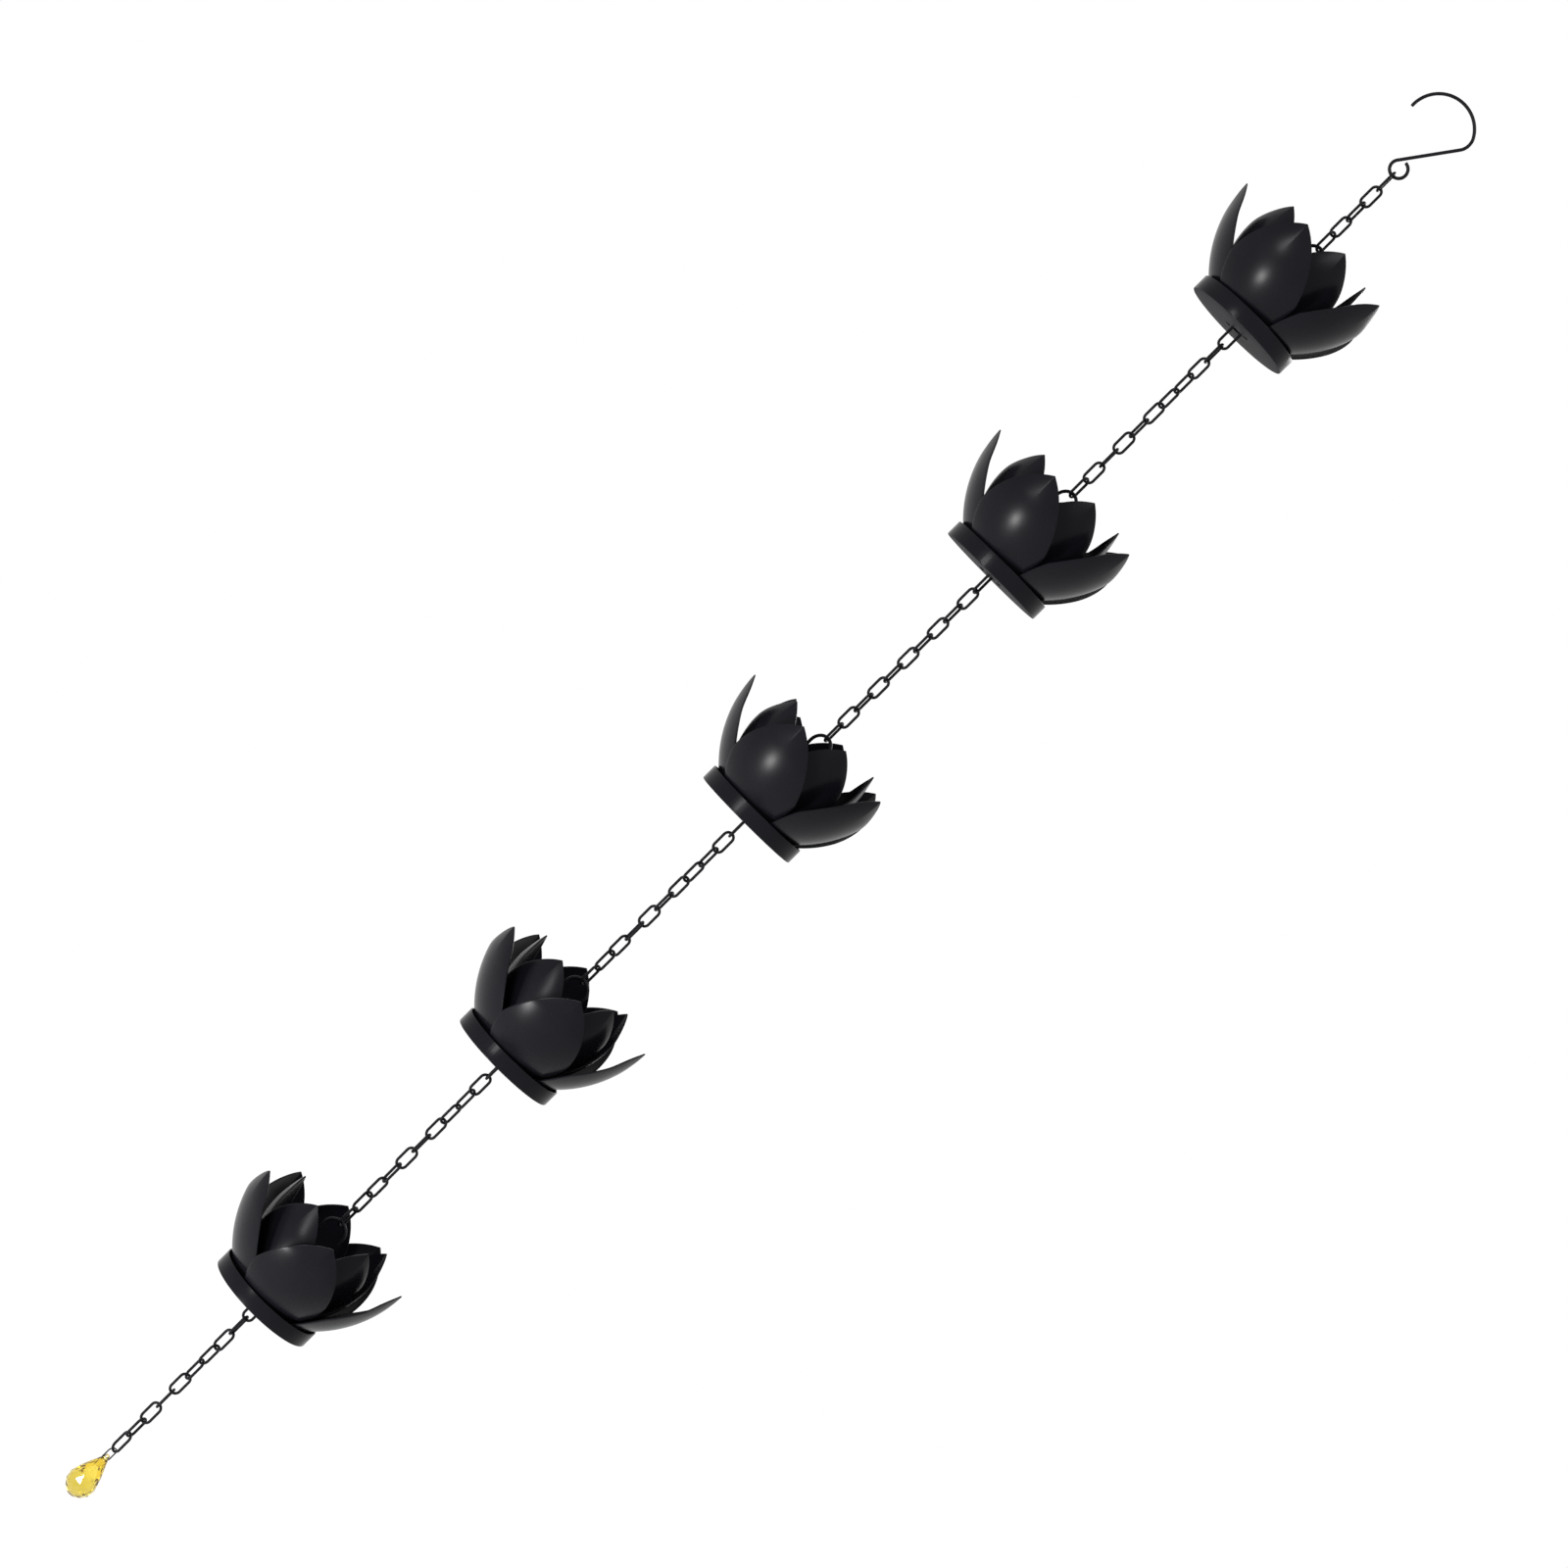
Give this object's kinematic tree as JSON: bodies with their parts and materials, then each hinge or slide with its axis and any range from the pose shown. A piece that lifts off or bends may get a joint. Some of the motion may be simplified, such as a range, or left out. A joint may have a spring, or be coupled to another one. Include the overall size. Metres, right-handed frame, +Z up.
{
  "type": "rain chain",
  "caption": "Hanging rain chain of lotus-shaped metal cups on oval wire links, with a wire hook at the top and a faceted glass drop at the foot.",
  "frame": {"origin": "the point of the hook's arc that bears on what holds it: the underside of the arc's top", "axes": "+Z is up, along the hanging chain; the hook lies in the XZ plane with its open side towards -X; -Y faces the viewer"},
  "size_m": [0.1305, 0.1303, 1.3362],
  "materials": {
    "powder_black": "satin",
    "petal_black": "satin",
    "black_wire": "satin",
    "amber_glass": "polished"
  },
  "bodies": {
    "hook": {"hook": "powder_black"},
    "chain_0a": {"chain_0a": "powder_black"},
    "chain_0b": {"chain_0b": "powder_black"},
    "cup_1": {"cup_1_pan": "powder_black", "cup_1_outer_petals": "petal_black", "cup_1_inner_petals": "petal_black", "cup_1_bail": "powder_black", "cup_1_loop": "powder_black"},
    "chain_1a": {"chain_1a": "powder_black"},
    "chain_1b": {"chain_1b": "powder_black"},
    "chain_1c": {"chain_1c": "powder_black"},
    "cup_2": {"cup_2_pan": "powder_black", "cup_2_outer_petals": "petal_black", "cup_2_inner_petals": "petal_black", "cup_2_bail": "powder_black", "cup_2_loop": "powder_black"},
    "chain_2a": {"chain_2a": "powder_black"},
    "chain_2b": {"chain_2b": "powder_black"},
    "chain_2c": {"chain_2c": "powder_black"},
    "cup_3": {"cup_3_pan": "powder_black", "cup_3_outer_petals": "petal_black", "cup_3_inner_petals": "petal_black", "cup_3_bail": "powder_black", "cup_3_loop": "powder_black"},
    "chain_3a": {"chain_3a": "powder_black"},
    "chain_3b": {"chain_3b": "powder_black"},
    "chain_3c": {"chain_3c": "powder_black"},
    "cup_4": {"cup_4_pan": "powder_black", "cup_4_outer_petals": "petal_black", "cup_4_inner_petals": "petal_black", "cup_4_bail": "powder_black", "cup_4_loop": "powder_black"},
    "chain_4a": {"chain_4a": "powder_black"},
    "chain_4b": {"chain_4b": "powder_black"},
    "chain_4c": {"chain_4c": "powder_black"},
    "cup_5": {"cup_5_pan": "powder_black", "cup_5_outer_petals": "petal_black", "cup_5_inner_petals": "petal_black", "cup_5_bail": "powder_black", "cup_5_loop": "powder_black"},
    "chain_5a": {"chain_5a": "powder_black"},
    "chain_5b": {"chain_5b": "powder_black"},
    "chain_5c": {"chain_5c": "powder_black"},
    "drop_pin": {"drop_pin": "black_wire"},
    "glass_drop": {"glass_drop": "amber_glass"}
  },
  "joints": [
    {"name": "hook_eye", "type": "hinge", "parent": "hook", "child": "chain_0a", "pos_m": [0, 0, -0.06655], "axis": [1, 0, 0], "range_deg": [-60, 60]},
    {"name": "chain_0ab", "type": "hinge", "parent": "chain_0a", "child": "chain_0b", "pos_m": [0, 0, -0.09475], "axis": [-0.9613, 0.2756, 0], "range_deg": [-60, 60]},
    {"name": "cup_1_bail", "type": "hinge", "parent": "chain_0b", "child": "cup_1", "pos_m": [0, 0, -0.13735], "axis": [0.6428, 0.766, 0], "range_deg": [-50, 50]},
    {"name": "cup_1_loop", "type": "hinge", "parent": "cup_1", "child": "chain_1a", "pos_m": [0, 0, -0.22665], "axis": [-0.2079, -0.9781, 0], "range_deg": [-50, 50]},
    {"name": "chain_1ab", "type": "hinge", "parent": "chain_1a", "child": "chain_1b", "pos_m": [0, 0, -0.27155], "axis": [-0.5878, -0.809, 0], "range_deg": [-60, 60]},
    {"name": "chain_1bc", "type": "hinge", "parent": "chain_1b", "child": "chain_1c", "pos_m": [0, 0, -0.32605], "axis": [0.1045, 0.9945, 0], "range_deg": [-60, 60]},
    {"name": "cup_2_bail", "type": "hinge", "parent": "chain_1c", "child": "cup_2", "pos_m": [0, 0, -0.37095], "axis": [-0.5, -0.866, 0], "range_deg": [-50, 50]},
    {"name": "cup_2_loop", "type": "hinge", "parent": "cup_2", "child": "chain_2a", "pos_m": [0, 0, -0.46255], "axis": [0.3746, 0.9272, 0], "range_deg": [-50, 50]},
    {"name": "chain_2ab", "type": "hinge", "parent": "chain_2a", "child": "chain_2b", "pos_m": [0, 0, -0.50515], "axis": [0.9367, -0.3502, 0], "range_deg": [-60, 60]},
    {"name": "chain_2bc", "type": "hinge", "parent": "chain_2b", "child": "chain_2c", "pos_m": [0, 0, -0.56195], "axis": [-0.9483, 0.3173, 0], "range_deg": [-60, 60]},
    {"name": "cup_3_bail", "type": "hinge", "parent": "chain_2c", "child": "cup_3", "pos_m": [0, 0, -0.60455], "axis": [-0.2924, -0.9563, 0], "range_deg": [-50, 50]},
    {"name": "cup_3_loop", "type": "hinge", "parent": "cup_3", "child": "chain_3a", "pos_m": [0, 0, -0.69615], "axis": [0.0349, 0.9994, 0], "range_deg": [-50, 50]},
    {"name": "chain_3ab", "type": "hinge", "parent": "chain_3a", "child": "chain_3b", "pos_m": [0, 0, -0.73875], "axis": [0.7314, 0.682, 0], "range_deg": [-60, 60]},
    {"name": "chain_3bc", "type": "hinge", "parent": "chain_3b", "child": "chain_3c", "pos_m": [0, 0, -0.79325], "axis": [-0.8829, -0.4695, 0], "range_deg": [-60, 60]},
    {"name": "cup_4_bail", "type": "hinge", "parent": "chain_3c", "child": "cup_4", "pos_m": [0, 0, -0.83565], "axis": [0.9816, -0.1908, 0], "range_deg": [-50, 50]},
    {"name": "cup_4_loop", "type": "hinge", "parent": "cup_4", "child": "chain_4a", "pos_m": [0, 0, -0.92745], "axis": [-0.9397, -0.342, 0], "range_deg": [-50, 50]},
    {"name": "chain_4ab", "type": "hinge", "parent": "chain_4a", "child": "chain_4b", "pos_m": [0, 0, -0.97235], "axis": [0.6428, 0.766, 0], "range_deg": [-60, 60]},
    {"name": "chain_4bc", "type": "hinge", "parent": "chain_4b", "child": "chain_4c", "pos_m": [0, 0, -1.02685], "axis": [-0.8192, -0.5736, 0], "range_deg": [-60, 60]},
    {"name": "cup_5_bail", "type": "hinge", "parent": "chain_4c", "child": "cup_5", "pos_m": [0, 0, -1.07175], "axis": [-0.4226, -0.9063, 0], "range_deg": [-50, 50]},
    {"name": "cup_5_loop", "type": "hinge", "parent": "cup_5", "child": "chain_5a", "pos_m": [0, 0, -1.16105], "axis": [0.225, 0.9744, 0], "range_deg": [-50, 50]},
    {"name": "chain_5ab", "type": "hinge", "parent": "chain_5a", "child": "chain_5b", "pos_m": [0, 0, -1.20365], "axis": [0.5299, -0.848, 0], "range_deg": [-60, 60]},
    {"name": "chain_5bc", "type": "hinge", "parent": "chain_5b", "child": "chain_5c", "pos_m": [0, 0, -1.24855], "axis": [-0.0349, 0.9994, 0], "range_deg": [-60, 60]},
    {"name": "pin_crown", "type": "hinge", "parent": "chain_5c", "child": "drop_pin", "pos_m": [0, 0, -1.28935], "axis": [-0.682, -0.7314, 0], "range_deg": [-60, 60]},
    {"name": "drop_crossbar", "type": "hinge", "parent": "drop_pin", "child": "glass_drop", "pos_m": [0, 0, -1.29925], "axis": [0.682, 0.7314, 0], "range_deg": [-45, 45]}
  ]
}
